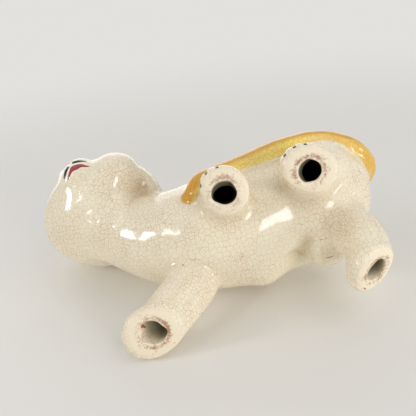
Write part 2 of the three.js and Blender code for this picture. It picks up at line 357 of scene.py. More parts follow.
def cad_points(names, swell):
    """Joined triangles of CAD nodes in millimetres, swollen along their normals."""
    points, faces, count = [], [], 0
    for name in names:
        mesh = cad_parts[name].data
        mesh.calc_loop_triangles()
        corners = rows_of(mesh.loop_triangles, "vertices", 3, int)
        place, corners = weld(rows_of(mesh.vertices, "co", 3) / MM, corners)
        points.append(place + normals_of(place, corners) * swell)
        faces.append(corners + count)
        count += len(place)
    return np.concatenate(points), np.concatenate(faces)


def weld(points, faces):
    """The same triangles with points at one place made one."""
    unique, where = np.unique(np.round(points, 3), axis=0, return_inverse=True)
    faces = where.reshape(-1)[faces]
    alive = (faces[:, 0] != faces[:, 1]) & (faces[:, 1] != faces[:, 2]) & (faces[:, 0] != faces[:, 2])
    return unique, faces[alive]


def normals_of(points, faces):
    """Normals at the points of a skin of triangles or quads."""
    first, second, third = (points[faces[:, k]] for k in (0, 1, 2))
    if faces.shape[1] == 4:
        across = np.cross(third - first, points[faces[:, 3]] - second)
    else:
        across = np.cross(second - first, third - first)
    total = np.zeros_like(points)
    for corner in range(faces.shape[1]):
        for axis in range(3):
            total[:, axis] += np.bincount(faces[:, corner], across[:, axis], len(points))
    return total / np.maximum(np.linalg.norm(total, axis=1, keepdims=True), 1e-12)


def linked(name, data):
    """A new object in the scene."""
    made = bpy.data.objects.new(name, data)
    bpy.context.collection.objects.link(made)
    return made


def remeshed(points, faces, step):
    """One skin of quads round everything, with points about a step apart."""
    mesh = bpy.data.meshes.new("raw_clay")
    mesh.from_pydata(points.tolist(), [], faces.tolist())
    raw = linked("raw_clay", mesh)
    rule = raw.modifiers.new("even_skin", "REMESH")
    rule.mode = "VOXEL"
    rule.voxel_size = step
    rule.adaptivity = 0
    done = raw.evaluated_get(bpy.context.evaluated_depsgraph_get()).to_mesh()
    place = rows_of(done.vertices, "co", 3)
    corners = rows_of(done.loops, "vertex_index", 1, int)
    if len(corners) != 4 * len(done.polygons):
        raise RuntimeError("the even skin isn't all quads")
    bpy.data.objects.remove(raw)
    bpy.data.meshes.remove(mesh)
    return place, corners.reshape(-1, 4)


class Skin:
    """Points and quads of a skin, with what smoothing needs."""

    def __init__(self, points, faces):
        self.points = points
        self.faces = faces
        pairs = np.concatenate([faces[:, [k, (k + 1) % 4]] for k in range(4)])
        self.edges = np.unique(np.sort(pairs, axis=1), axis=0)
        self.degree = np.bincount(self.edges.reshape(-1), minlength=len(points))[:, None]

    def mean(self, values):
        """The mean of each point's neighbours."""
        first, second = self.edges.T
        total = np.empty_like(values)
        for axis in range(values.shape[1]):
            total[:, axis] = np.bincount(first, values[second, axis], len(values))
            total[:, axis] += np.bincount(second, values[first, axis], len(values))
        return total / np.maximum(self.degree, 1)

    def blurred(self, values, rounds, share=0.6):
        for _ in range(rounds):
            values = values + share * (self.mean(values) - values)
        return values

    def normals(self):
        return normals_of(self.points, self.faces)

    def reached(self, start, blocked):
        """Which points an ant reaches from a start without stepping on blocked ones."""
        first, second = self.edges.T
        seen = np.zeros(len(self.points), dtype=bool)
        seen[start] = True
        before = 0
        while seen.sum() > before:
            before = seen.sum()
            for _ in range(8):
                seen[second[seen[first] & ~blocked[second]]] = True
                seen[first[seen[second] & ~blocked[first]]] = True
        return seen

    def plane_off(self, rounds, keep):
        """Takes the facets off without thinning the shape."""
        before = self.points
        flat = self.blurred(before, rounds)
        self.points = flat + self.blurred(before - flat, rounds)
        self.points = before + (self.points - before) * keep[:, None]

    def fill_creases(self, rounds, share):
        """Fills hollow creases as wiped slip does, and leaves the rest."""
        for turn in range(rounds):
            if turn % 5 == 0:
                normals = self.normals()
            step = self.mean(self.points) - self.points
            rise = np.sum(step * normals, axis=1)
            weight = np.where(rise > 0, FILL_SHARE, WEAR_SHARE) * share
            self.points = self.points + step * weight[:, None]


def smoothstep(low, high, values):
    t = np.clip((values - low) / (high - low), 0, 1)
    return t * t * (3 - 2 * t)


def in_sole(points, sole):
    """Points in a sole's frame: along bearing nought, along bearing 90 and up."""
    return (points - np.array(sole["hole"])) @ np.array(sole_axes(sole)).T


def reach_of(local):
    """Distance of points, in a sole's frame, from its upright middle line."""
    return np.linalg.norm(local[:, :2], axis=1)


def round_soles(skin):
    """Each sole in turn, with the skin's points in its frame and their distance from its middle line."""
    for sole in SOLES.values():
        local = in_sole(skin.points, sole)
        yield sole, local, reach_of(local)


def off_bearing(local, bearing):
    """Angle of points, in a sole's frame, from a bearing in degrees."""
    turn = np.arctan2(local[:, 1], local[:, 0]) - math.radians(bearing)
    return np.degrees(np.abs(np.angle(np.exp(1j * turn))))


def apart(points, place):
    """Distance of points from a place."""
    return np.linalg.norm(points - np.array(place), axis=1)


def bore_reach(local, sole):
    """Distance of points, in a sole's frame, from the slanting middle line of its pour hole."""
    return np.linalg.norm(local[:, :2] - local[:, 2:] * np.array(sole["lean"]), axis=1)


def bare_share(points, sole):
    """How bare of glaze the clay is round a sole: the wiped edge wanders."""
    local = in_sole(points, sole)
    reach = reach_of(local) + 1.3 * np.abs(local[:, 2]) + 0.7 * unevenness(points * 2.6)
    return sole["bare"] * (1 - smoothstep(WIPED_REACH - WIPED_BLUR, WIPED_REACH + WIPED_BLUR, reach))


def along_bearing(local, bearing):
    """Distances of points, in a sole's frame, along and aside of a bearing."""
    turn = math.radians(bearing)
    ahead = local[:, :2] @ np.array([math.cos(turn), math.sin(turn)])
    return ahead, local[:, :2] @ np.array([-math.sin(turn), math.cos(turn)])


def outward(points, faces):
    """Six times the volume inside closed quads, below nought where they face inward."""
    a, b, c, d = (points[np.array(faces)[:, k]] for k in range(4))
    return float(np.sum(np.cross(b - a, c - a) * a) + np.sum(np.cross(c - a, d - a) * a))


def mesh_arrays(piece):
    """A piece's points in millimetres, and its quads."""
    corners = rows_of(piece.data.loops, "vertex_index", 1, int)
    return rows_of(piece.data.vertices, "co", 3) / MM, corners.reshape(-1, 4)


def shell(top, low, faces):
    """Points and faces of a closed shell: a skin, its underside and the walls round its rim."""
    under = len(top)
    edges = [edge for face in faces for edge in zip(face, (*face[1:], face[0]))]
    inner = set(edges)
    walls = [(b, a, a + under, b + under) for a, b in edges if (b, a) not in inner]
    below = [[corner + under for corner in face[::-1]] for face in faces]
    return [*top, *low], [*faces, *below, *walls]


def search_tree(points, faces):
    """A search tree of a skin."""
    return BVHTree.FromPolygons(points.tolist(), faces.tolist())


def unevenness(points):
    """A slow wobble of about one, the same each run."""
    wobble = np.zeros(len(points))
    for wave, (x, y, z, phase) in enumerate(
        ((0.21, 0.13, -0.17, 0.3), (-0.11, 0.24, 0.19, 1.7), (0.09, -0.2, 0.27, 4.1), (0.31, 0.29, 0.11, 2.2))
    ):
        wobble += np.sin(points @ np.array([x, y, z]) + phase) / (1.5 + 0.4 * wave)
    return wobble


def mesh_object(name, points, faces, material, values=None):
    """A smooth-shaded piece in metres that rides on the cat, with named values at its points."""
    mesh = bpy.data.meshes.new(name)
    mesh.from_pydata((np.asarray(points) * MM).tolist(), [], faces)
    mesh.polygons.foreach_set("use_smooth", [True] * len(mesh.polygons))
    for key, numbers in (values or {}).items():
        layer = mesh.attributes.new(key, "FLOAT", "POINT")
        layer.data.foreach_set("value", np.asarray(numbers, dtype=np.float32))
    mesh.update()
    mesh.materials.append(material)
    made = linked(name, mesh)
    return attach(made, "root")


# Materials.


def add_node(tree, kind, inputs=None, **settings):
    """Adds a shader node of a kind, sets it up, and links or sets its inputs."""
    made = tree.nodes.new("ShaderNode" + kind)
    for key, value in settings.items():
        setattr(made, key, value)
    for key, value in (inputs or {}).items():
        if isinstance(value, bpy.types.NodeSocket):
            tree.links.new(value, made.inputs[key])
        else:
            made.inputs[key].default_value = value
    return made


def new_material(name):
    material = bpy.data.materials.new(name)
    material.use_nodes = True
    material.node_tree.nodes.clear()
    return material, material.node_tree


def rgba(value):
    """A plain colour as a shader takes it. A socket stays as it is."""
    return value if isinstance(value, bpy.types.NodeSocket) else (*value, 1.0)


def reckoned(tree, operation, *values, **settings):
    """The result of one sum on sockets or numbers."""
    return add_node(tree, "Math", dict(enumerate(values)), operation=operation, **settings).outputs[0]


def ramp(tree, value, first, last, low=0.0, high=1.0, **settings):
    """A value that runs from a low to a high one while another runs from its first to its last."""
    span = {"Value": value, "From Min": first, "From Max": last, "To Min": low, "To Max": high}
    return add_node(tree, "MapRange", span, **settings).outputs[0]


def mixed(tree, share, under, over):
    """A colour laid over another by a share."""
    layers = {0: share, 6: rgba(under), 7: rgba(over)}
    return add_node(tree, "Mix", layers, data_type="RGBA").outputs[2]


def noise(tree, place, wide, detail):
    """Noise with clouds of a width in metres."""
    return add_node(tree, "TexNoise", {"Vector": place, "Scale": 1 / wide, "Detail": detail}).outputs[0]


def point_values(tree, *names):
    """Values that the mesh keeps at its points."""
    return [add_node(tree, "Attribute", attribute_name=name).outputs["Fac"] for name in names]


def crack_net(tree, place, normal, cell, width):
    """Lines of one even width between the cells of a net that fills space.

    A wall that meets the skin at a slant would draw a broad line, so the distance from the wall is measured
    along the skin: what it gains in a short step along the normal gives the slant.
    """
    far = []
    for share in (0.0, SLANT_STEP * cell, -SLANT_STEP * cell):
        step = {0: normal, 1: (share,) * 3, 2: place}
        spot = add_node(tree, "VectorMath", step, operation="MULTIPLY_ADD").outputs[0]
        net = {"Vector": spot, "Scale": 1 / cell, "Randomness": CRACK_CHANCE}
        far.append(add_node(tree, "TexVoronoi", net, feature="DISTANCE_TO_EDGE").outputs["Distance"])
    gain = reckoned(tree, "SUBTRACT", reckoned(tree, "MAXIMUM", far[1], far[2]), far[0])
    slant = reckoned(tree, "POWER", reckoned(tree, "DIVIDE", gain, SLANT_STEP), 2.0)
    facing = reckoned(tree, "MAXIMUM", reckoned(tree, "SUBTRACT", 1.0, slant), 0.03)
    along = reckoned(tree, "DIVIDE", far[0], reckoned(tree, "SQRT", facing))
    return ramp(tree, along, width * 0.8 / cell, width * 0.2 / cell, interpolation_type="SMOOTHSTEP")


def crackle(tree, cell):
    """Lines of crackled glaze: a net of wide cells, split again by finer cracks in most regions."""
    width = sizes().crack_width
    place = add_node(tree, "TexCoord").outputs["Object"]
    normal = add_node(tree, "NewGeometry").outputs["Normal"]
    bend = add_node(tree, "TexNoise", {"Vector": place, "Scale": 0.35 / cell, "Detail": 1.0})
    shift = {0: bend.outputs["Color"], 1: (cell * 1.2,) * 3, 2: place}
    bent = add_node(tree, "VectorMath", shift, operation="MULTIPLY_ADD").outputs[0]
    wide = crack_net(tree, bent, normal, cell, width)
    fine = crack_net(tree, bent, normal, cell * 0.58, width * 0.85)
    split = ramp(tree, noise(tree, place, 0.016, 2.0), 0.36, 0.5, 0.0, 0.9)
    return place, reckoned(tree, "MAXIMUM", wide, reckoned(tree, "MULTIPLY", fine, split))


def finished(material, tree, look):
    """The material with its gloss and colours joined to the surface."""
    shader = add_node(tree, "BsdfPrincipled", look)
    add_node(tree, "OutputMaterial", {"Surface": shader.outputs[0]})
    return material


def cream_glaze():
    """Crackled lead glaze on slip-cast earthenware, with bare clay on the soles and inside.

    The eye sees a warm cream under clear gloss, a net of fine stained cracks, a deeper tint in the hollows
    that is partly pooled glaze and partly painted shade, near black painted shade on the clay deep inside,
    and matt, stained clay where the glaze was wiped off.
    """
    paint = colours()
    material, tree = new_material("crackled_cream_glaze")
    place, lines = crackle(tree, sizes().crackle)
    cloud = noise(tree, place, 0.024, 3.0)
    grain = noise(tree, place, 0.0009, 4.0)
    patch = noise(tree, place, 0.0042, 2.0)
    pool_and_shade, smear, inside, deep, bare = point_values(tree, "pool_and_shade", "stain", "inside", "deep", "bare")
    # Hollows get the darker pooled tint: partly glaze that pooled there, partly painted shade.
    pooled_and_shaded = reckoned(tree, "MULTIPLY_ADD", cloud, 0.24, pool_and_shade, use_clamp=True)
    cracked = reckoned(tree, "MULTIPLY", lines, ramp(tree, cloud, 0.3, 0.7, 0.3, 0.65))
    for speckle, weight in ((grain, 2.2), (patch, 1.8)):
        smear = reckoned(tree, "MULTIPLY_ADD", speckle, weight, smear)
    stained = ramp(tree, smear, 2.4, 3.2, 0.0, 0.8)
    glaze, clay = paint.cream, paint.bisque
    for share, coat in ((pooled_and_shaded, paint.pooled_and_shaded), (cracked, paint.crack)):
        glaze = mixed(tree, share, glaze, coat)
    # Over the bisque: the brown stain, the inner clay, then the deep share, which is painted shade.
    for share, coat in ((stained, paint.stain), (inside, paint.inner), (deep, paint.deep)):
        clay = mixed(tree, share, clay, coat)
    surface = mixed(tree, bare, glaze, clay)
    rough = ramp(tree, bare, 0.0, 1.0, 0.07, 0.8)
    low = reckoned(tree, "MULTIPLY", lines, grain)
    dent = {"Height": low, "Strength": 0.12, "Distance": 0.00006}
    bump = add_node(tree, "Bump", dent, invert=True).outputs[0]
    look = {"Base Color": surface, "Roughness": rough, "Normal": bump, "IOR": GLAZE_IOR}
    return finished(material, tree, look)


def yellow_glaze():
    """Crackled glaze over sprayed yellow stain: warm yellow, amber where the thick share is high."""
    paint = colours()
    material, tree = new_material("crackled_yellow_glaze")
    place, lines = crackle(tree, sizes().tail_crackle)
    thick, cover = point_values(tree, "thick", "cover")
    cloud = noise(tree, place, 0.007, 3.0)
    deeper = reckoned(tree, "MULTIPLY_ADD", cloud, 0.55, thick, use_clamp=True)
    body = mixed(tree, ramp(tree, deeper, 0.27, 1.0), paint.yellow, paint.amber)
    sprayed = mixed(tree, cover, paint.cream, body)
    glazed = mixed(tree, reckoned(tree, "MULTIPLY", lines, 0.45), sprayed, paint.tail_crack)
    return finished(material, tree, {"Base Color": glazed, "Roughness": 0.08, "IOR": GLAZE_IOR})


def enamel(name, paint_colour):
    """Enamel brushed over the glaze: even gloss, slightly thin where the brush ran dry."""
    material, tree = new_material(name)
    place = add_node(tree, "TexCoord").outputs["Object"]
    thin = ramp(tree, noise(tree, place, 0.0015, 2.0), 0.5, 0.85, 0.0, 0.12)
    worn = mixed(tree, thin, paint_colour, colours().cream)
    return finished(material, tree, {"Base Color": worn, "Roughness": 0.18, "IOR": 1.5})


# Paint on the clay.


def clay_tree(*more):
    """A search tree of the finished clay skin, and of more pieces by name, in millimetres."""
    points, faces = [], []
    for name in ("clay_body", *more):
        part_points, part_faces = mesh_arrays(bpy.data.objects[name])
        faces += (part_faces + len(points)).tolist()
        points += part_points.tolist()
    return BVHTree.FromPolygons(points, faces)


def struck(tree, start, way):
    """Where a ray from a place strikes a skin."""
    place = tree.ray_cast(start, way)[0]
    if place is None:
        raise RuntimeError(f"nothing is struck from {start} along {way}")
    return place


def seen_at(tree, pixel):
    """The point of the clay that the photograph shows at a pixel."""
    x = (pixel[0] - PICTURE / 2) / FOCAL_PIXELS
    y = (PICTURE / 2 - pixel[1]) / FOCAL_PIXELS
    return struck(tree, EYE, (CAMERA_RIGHT * x + CAMERA_UP * y - CAMERA_BACK).normalized())


def on_face(tree, across, up):
    """The point of the head in front of a place on its face, in millimetres to its right and up."""
    start = HEAD_PLACE @ Vector((-90, across, up))
    return struck(tree, start, HEAD_TURN.to_3x3() @ Vector((1, 0, 0)))


def ear_place(ear):
    """Where the middle of an ear lies on the face, in millimetres to its right and up."""
    low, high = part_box(ear)
    middle = HEAD_PLACE.inverted() @ ((Vector(low) + Vector(high)) / (2 * MM))
    return middle.y, middle.z - 1.0


def smooth_line(points, count):
    """Evenly spread points on a smooth line through the given ones."""
    knots = [np.array(p) for p in points]
    ends = [2 * knots[0] - knots[1], *knots, 2 * knots[-1] - knots[-2]]
    made = []
    for t in np.linspace(0, len(knots) - 1, count):
        i = min(int(t), len(knots) - 2)
        u = t - i
        a, b, c, d = ends[i : i + 4]
        bend = (2 * a - 5 * b + 4 * c - d) * u**2 + (3 * b - a - 3 * c + d) * u**3
        made.append(Vector(b + 0.5 * ((c - a) * u + bend)))
    return made


def photo_line(tree, pixels, count):
    """A smooth line on the clay through pixels of the photograph."""
    return smooth_line([seen_at(tree, pixel) for pixel in pixels], count)


def brush_stroke(tree, line, widths, lift=0.16, cells=6):
    """Points and faces of a closed ridge of paint along a line on the clay."""
    count, wide = len(line), cells + 1
    top, low = [], []
    for index, place in enumerate(line):
        spot, normal = tree.find_nearest(place)[:2]
        ahead = line[min(index + 1, count - 1)] - line[max(index - 1, 0)]
        side = normal.cross(ahead).normalized()
        half = np.interp(index / (count - 1), np.linspace(0, 1, len(widths)), widths) / 2
        for cell in range(wide):
            u = 2 * cell / cells - 1
            skin, out = tree.find_nearest(spot + side * half * u)[:2]
            top.append(skin + out * (lift * (1 - u**4) - PAINT_EDGE))
            low.append(skin - out * PAINT_SUNK)
    starts = [row * wide + cell for row in range(count - 1) for cell in range(cells)]
    return shell(top, low, [(a, a + wide, a + wide + 1, a + 1) for a in starts])


def paint_patch(tree, project, outline, lift=0.16, rings=6, sides=28):
    """Points and faces of a closed patch of paint: a projected outline, filled to its middle."""
    shape = [np.array(outline(2 * math.pi * k / sides)) for k in range(sides)]
    middle = np.mean(shape, axis=0)
    spots = [(corner, 1 - ring / rings) for ring in range(rings) for corner in shape]
    top, low = [], []
    for corner, share in (*spots, (middle, 0)):
        skin, out = tree.find_nearest(project(*(middle + (corner - middle) * share)))[:2]
        top.append(skin + out * (lift * (1 - share**6) - PAINT_EDGE if share else lift))
        low.append(skin - out * PAINT_SUNK)
    faces = []
    for k in range(sides):
        n = (k + 1) % sides
        *starts, last = range(0, rings * sides, sides)
        faces += [(a + n, a + k, a + sides + k, a + sides + n) for a in starts]
        faces.append((last + n, last + k, rings * sides))
    return shell(top, low, faces)


def painted(name, parts, material):
    """One piece of paint from several strokes and patches."""
    points, faces = [], []
    for part_points, part_faces in parts:
        faces += [[i + len(points) for i in face] for face in part_faces]
        points += [tuple(p) for p in part_points]
    return mesh_object(name, points, faces, material)


# Operators.


class CAT_OT_clay_body(bpy.types.Operator):
    """Lute the cast pieces together, wipe the joints and glaze the cat"""

    bl_idname = "cat.clay_body"
    bl_label = "Clay body"

    def execute(self, context):
        size = sizes()
        slip = size.slip / MM
        skin = Skin(*remeshed(*cad_points((*CLAY_NODES, "tail"), slip), size.skin_step / MM))
        blocked, loose = self.near_soles(skin)
        outer = skin.reached(int(np.argmax(skin.points[:, 0])), blocked)
        skin.plane_off(FACET_ROUNDS, loose)
        skin.fill_creases(size.fillet_rounds, np.where(outer, loose, 0.0))
        self.thumb(skin, outer)
        wobble = np.where(outer, unevenness(skin.points) * size.hand / MM * loose, -slip)
        skin.points = skin.points + skin.normals() * wobble[:, None]
        self.pare_paws(skin, outer)
        self.press_toes(skin, outer)
        self.trim_feet(skin)
        self.clear_holes(skin)
        # Hollows of the smoothed skin get a darker tint: glaze that pooled there and painted shade.
        sunk = skin.blurred(skin.points, POOL_AND_SHADE_ROUNDS) - skin.points
        hollow = np.sum(sunk * skin.normals(), axis=1)
        bare = 1.0 - outer
        for sole in SOLES.values():
            bare = np.maximum(bare, bare_share(skin.points, sole))
        values = {
            "bare": bare,
            "stain": np.zeros(len(bare)),
            "inside": 1.0 - outer,
            # The deep share paints shade, near black, on all the clay inside the hollow cat.
            "deep": 1.0 - outer,
            "pool_and_shade": np.clip(hollow / POOL_AND_SHADE_DEPTH, 0, 0.95),
        }
        body = mesh_object("clay_body", skin.points, skin.faces.tolist(), cream_glaze(), values)
        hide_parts(*CLAY_NODES)
        return {"FINISHED"}

    def thumb(self, skin, outer):
        """Wipes the widest creases, sponges the cheek, and thumbs the clay in or builds it up."""
        wiped = self.spots(skin, outer, WIPED)
        skin.fill_creases(WIPED_ROUNDS, np.where(wiped > 0.02, wiped, 0.0))
        skin.plane_off(SPONGED_ROUNDS, self.spots(skin, outer, SPONGED))
        tree = search_tree(skin.points, skin.faces)
        moved = np.zeros_like(skin.points)
        for places, stretch in ((PRESSES, 1.0), (FLANK_PRESSES, FLANK_DEPTH)):
            for pixel, radius, (right, up, near) in places:
                aside = skin.points - np.array(seen_at(tree, pixel))
                sight = aside @ np.array(CAMERA_BACK)
                square = np.sum(aside**2, axis=1) - sight**2 * (1 - 1 / stretch**2)
                push = np.array(CAMERA_RIGHT * right + CAMERA_UP * up + CAMERA_BACK * near)
                moved += np.exp(-square / radius**2 * PRESS_FADE)[:, None] * push
        for ear in EARS:
            far = apart(skin.points, on_face(tree, *ear_place(ear)))
            push = np.array(HEAD_TURN.to_3x3() @ Vector((EAR_HOLLOW, 0, 0)))
            moved += np.exp(-((far / EAR_WIDTH) ** 2) * PRESS_FADE)[:, None] * push
        skin.points = skin.points + np.where(outer, 1.0, 0.0)[:, None] * moved

    def spots(self, skin, outer, places):
        """How near the points are to some places of the photograph, from one to nought."""
        tree = search_tree(skin.points, skin.faces)
        share = np.zeros(len(skin.points))
        for pixel, radius in places:
            far = apart(skin.points, seen_at(tree, pixel))
            share = np.maximum(share, np.exp(-((far / radius) ** 2)))
        return np.where(outer, share, 0.0)

    def near_soles(self, skin):
        """Points in the mouths of the pour holes, and how far each point may be smoothed."""
        blocked = np.zeros(len(skin.points), dtype=bool)
        loose = np.ones(len(skin.points))
        for sole, local, reach in round_soles(skin):
            blocked |= (bore_reach(local, sole) < HOLE_REACH) & (local[:, 2] > 0.8) & (local[:, 2] < 5)
            low = np.minimum(loose, np.clip(np.abs(local[:, 2]) / 4, 0.25, 1))
            loose = np.where(reach < PAW_REACH, low, loose)
        return blocked, loose

    def pare_paws(self, skin, outer):
        """Pares the paws back where the clay was cut to a lip above the sole."""
        for sole, local, reach in round_soles(skin):
            bearing, spread, depth = sole["pared"]
            aside = off_bearing(local, bearing) / spread
            low = 1 - smoothstep(3.5, 11, local[:, 2])
            cut = depth * np.exp(-(aside**2)) * smoothstep(6.5, 10, reach) * low
            cut = (np.where(outer & (reach < PAW_CLEAR), cut, 0) / np.maximum(reach, 1))[:, None]
            skin.points = skin.points - cut * (local[:, :2] @ np.array(sole_axes(sole)[:2]))

    def press_toes(self, skin, outer):
        """Presses the grooves between the toes."""
        size = sizes()
        depth = np.zeros(len(skin.points))
        for sole, local, reach in round_soles(skin):
            for bearing in sole["grooves"]:
                ahead, aside = along_bearing(local, bearing)
                shape = np.exp(-((aside / (size.groove_width / MM)) ** 2) * 2.5)
                shape = shape * smoothstep(7, 8.5, ahead) * (1 - smoothstep(6, 10, local[:, 2]))
                depth = np.maximum(depth, np.where((reach < TOE_REACH) & outer, shape, 0))
        skin.points = skin.points - skin.normals() * (depth * size.groove_depth / MM)[:, None]

    def trim_feet(self, skin):
        """Cuts the feet back to make room for the trimmed soles."""
        for sole, local, reach in round_soles(skin):
            sunk = (reach < PAW_REACH) & (local[:, 2] < SOLE_BED)
            *flat, up = np.array(sole_axes(sole))
            inward = -local[:, :2] @ np.array(flat)
            inward = inward / np.maximum(np.linalg.norm(inward, axis=1, keepdims=True), 1e-6)
            lift = np.where(sunk, SOLE_BED - local[:, 2], 0)[:, None]
            skin.points = skin.points + lift * up + np.minimum(lift, 1.0) * 0.7 * inward
        skin.points[:, 2] = np.maximum(skin.points[:, 2], 0)

    def clear_holes(self, skin):
        """Widens the hollow legs behind the sleeves of the pour holes."""
        for sole, local, _ in round_soles(skin):
            lean_x, lean_y, deep, _ = sole["sleeve"]
            middle = np.maximum(local[:, 2:] - HOLE_EDGE[-1][1], 0) * np.array([lean_x, lean_y])
            aside = local[:, :2] - middle
            reach = np.linalg.norm(aside, axis=1)
            room = sole["radius"] + SLEEVE_WALL + 0.8
            near = (local[:, 2] > -1) & (local[:, 2] < deep + 2) & (reach < room)
            push = (np.where(near, room - reach, 0) / np.maximum(reach, 0.1))[:, None] * aside
            skin.points = skin.points + push @ np.array(sole_axes(sole)[:2])


class CAT_OT_soles(bpy.types.Operator):
    """Trim the soles flat and cut the pour holes"""

    bl_idname = "cat.soles"
    bl_label = "Soles"

    def execute(self, context):
        tree = clay_tree()
        material = bpy.data.materials["crackled_cream_glaze"]
        for name, sole in SOLES.items():
            leg = search_tree(*cad_points((name,), sizes().slip / MM))
            points, faces, values = self.sole_ring(tree, leg, sole)
            made = mesh_object(name.replace("leg", "sole"), points, faces, material, values)
        return {"FINISHED"}

    def sole_ring(self, tree, leg, sole, sides=144):
        """A ring of clay with rounded edges between the paw's outline and the pour hole, and its sleeve."""
        middle = sole["hole"]
        ahead, side, up = sole_axes(sole)
        turns = np.arange(sides) * 2 * math.pi / sides
        ways = [ahead * math.cos(t) + side * math.sin(t) for t in turns]
        seed = sum(sole["grooves"])
        hole = np.full(sides, sole["radius"])
        for wave, share in ((2, 1.0), (3, 0.8), (5, 0.5), (7, 0.3)):
            hole = hole + sole["rough"] * share * np.sin(wave * turns + seed * wave)
        base = SOLE_BED + 0.5
        skin_base = self.paw_edge(tree, middle, ways, up, base)
        leg_base = self.paw_edge(leg, middle, ways, up, base)
        rows = []
        for out, height in SOLE_EDGE:
            if height > base:
                edge = self.paw_edge(tree, middle, ways, up, height)
            else:
                edge = skin_base + self.paw_edge(leg, middle, ways, up, max(height, 0.3)) - leg_base
            rows.append((np.maximum(edge + out, hole + HOLE_EDGE[0][0] + 0.5), height, 0.0))
        sole_reach = rows[-1][0]
        outer_rows = len(rows)
        for share in np.linspace(0, 1, 10)[1:-1]:
            rows.append((sole_reach * (1 - share) + (hole + HOLE_EDGE[0][0]) * share, 0.0, 0.0))
        rows += [(hole + out, height, 0.0) for out, height in HOLE_EDGE]
        lean_x, lean_y, deep, taper = sole["sleeve"]
        first = HOLE_EDGE[-1][1]
        for height in np.linspace(first, deep, 9)[1:]:
            narrow = 1 + (taper - 1) * (height - first) / (deep - first)
            rows.append((hole * narrow, height, smoothstep(first - 1, deep * 0.5, height)))
        for height in np.linspace(deep, SOLE_EDGE[0][1], 5):
            narrow = 1 + (taper - 1) * (height - first) / (deep - first)
            rows.append((hole * narrow + SLEEVE_WALL, height, 1.0))
        points, inside = [], []
        for reach, height, within in rows:
            slide = (ahead * lean_x + side * lean_y) * max(height - first, 0) if within > 0 else Vector()
            for way, far in zip(ways, reach):
                points.append(middle + slide + way * far + up * height)
                inside.append(within)
        count = len(rows)
        faces = []
        for row in range(count):
            after = (row + 1) % count
            for k in range(sides):
                n = (k + 1) % sides
                faces.append((row * sides + k, after * sides + k, after * sides + n, row * sides + n))
        points = np.array(points)
        if outward(points, faces) < 0:
            faces = [face[::-1] for face in faces]
        points[:, 2] = np.maximum(points[:, 2], 0)
        flat = np.where(np.array(inside) > 0, 1.0, sole["bare"])
        bare = np.where(np.arange(len(points)) < outer_rows * sides, bare_share(points, sole), flat)
        values = {
            "bare": bare,
            "inside": inside,
            "stain": self.stain(points, bare, sole),
            # The deep share paints shade in the sleeve, as dark as this sole's share of painted shade.
            "deep": sole["hole_shade"] * np.array(inside),
            "pool_and_shade": np.zeros(len(bare)),
        }
        return points, faces, values

    def paw_edge(self, tree, middle, ways, up, height):
        """How far the paw reaches all round at a height above its sole."""
        start = middle + up * height
        hits = [struck(tree, start + way * PAW_CLEAR, -way) for way in ways]
        edge = np.array([(hit - middle).dot(way) for hit, way in zip(hits, ways)])
        for _ in range(5):
            edge = (np.roll(edge, 1) + 2 * edge + np.roll(edge, -1)) / 4
        return edge

    def stain(self, points, bare, sole):
        """How much brown stain lies round the pour hole."""
        local = in_sole(points, sole)
        reach = reach_of(local)
        bearing, spread = sole["stain"]
        turn = off_bearing(local, bearing)
        ring = np.exp(-(((reach - sole["radius"] - 1.3) / 0.95) ** 2))
        around = 0.3 * (1 - smoothstep(2.5, 6.0, reach - sole["radius"]))
        thick = 0.2 + 0.5 * (1 - smoothstep(spread * 0.6, spread * 1.1, turn))
        return (around + ring * thick) * smoothstep(0, 0.5, bare)


class CAT_OT_tail(bpy.types.Operator):
    """Lay the tail round the rump and along the flank and spray it yellow"""

    bl_idname = "cat.tail"
    bl_label = "Tail"

    def execute(self, context):
        body = bpy.data.objects["clay_body"]
        points, faces = mesh_arrays(body)
        roll = search_tree(*cad_points(("tail",), 0.2))
        low, high = (np.array(corner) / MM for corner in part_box("tail"))
        close = np.all((points > low - TAIL_FAR) & (points < high + TAIL_FAR), axis=1)
        gap = np.full(len(points), TAIL_FAR)
        for index in np.flatnonzero(close):
            spot, way, _, far = roll.find_nearest(points[index])
            gap[index] = far if (Vector(points[index]) - spot).dot(way) > 0 else 0.0
        outer = rows_of(body.data.attributes["inside"].data, "value", 1)[:, 0] < 0.5
        tree = clay_tree()
        for pixel, radius, stray in STRAYED:
            far = apart(points, seen_at(tree, pixel))
            gap = np.maximum(gap - stray * np.exp(-((far / radius) ** 2)), 0.0)
        gap = np.where(outer, gap, TAIL_FAR)
        picked = faces[np.all(gap[faces] < TAIL_EDGE, axis=1)]
        used, corners = np.unique(picked, return_inverse=True)
        cover = 1 - smoothstep(0.5 * TAIL_EDGE, TAIL_EDGE, gap[used])
        out = normals_of(points, faces)[used]
        top = points[used] + out * (cover * TAIL_GLAZE - TAIL_RIM)[:, None]
        low = points[used] - out * TAIL_SUNK
        colour_share = 1 - smoothstep(0.2, 0.75 * TAIL_EDGE, gap[used])
        # The amber share: more on faces turned to -Y, toward the tip (most on faces turned to the camera's
        # left), and at the rump.
        thick = 0.75 * smoothstep(0.3, 0.95, -out[:, 1])
        tip = 1 - smoothstep(-5, 6, points[used][:, 0] - SHIFT.x)
        left = smoothstep(0.1, 0.8, -(out @ np.array(CAMERA_RIGHT)))
        rump = smoothstep(55, 72, points[used][:, 0] - SHIFT.x)
        thick = np.clip(thick + tip * (0.3 + 0.7 * left) + 0.45 * rump, 0, 1)
        values = {"cover": np.tile(colour_share, 2), "thick": np.tile(thick, 2)}
        glazed = shell(top, low, corners.reshape(-1, 4).tolist())
        tail = mesh_object("tail_roll", *glazed, yellow_glaze(), values)
        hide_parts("tail")
        return {"FINISHED"}


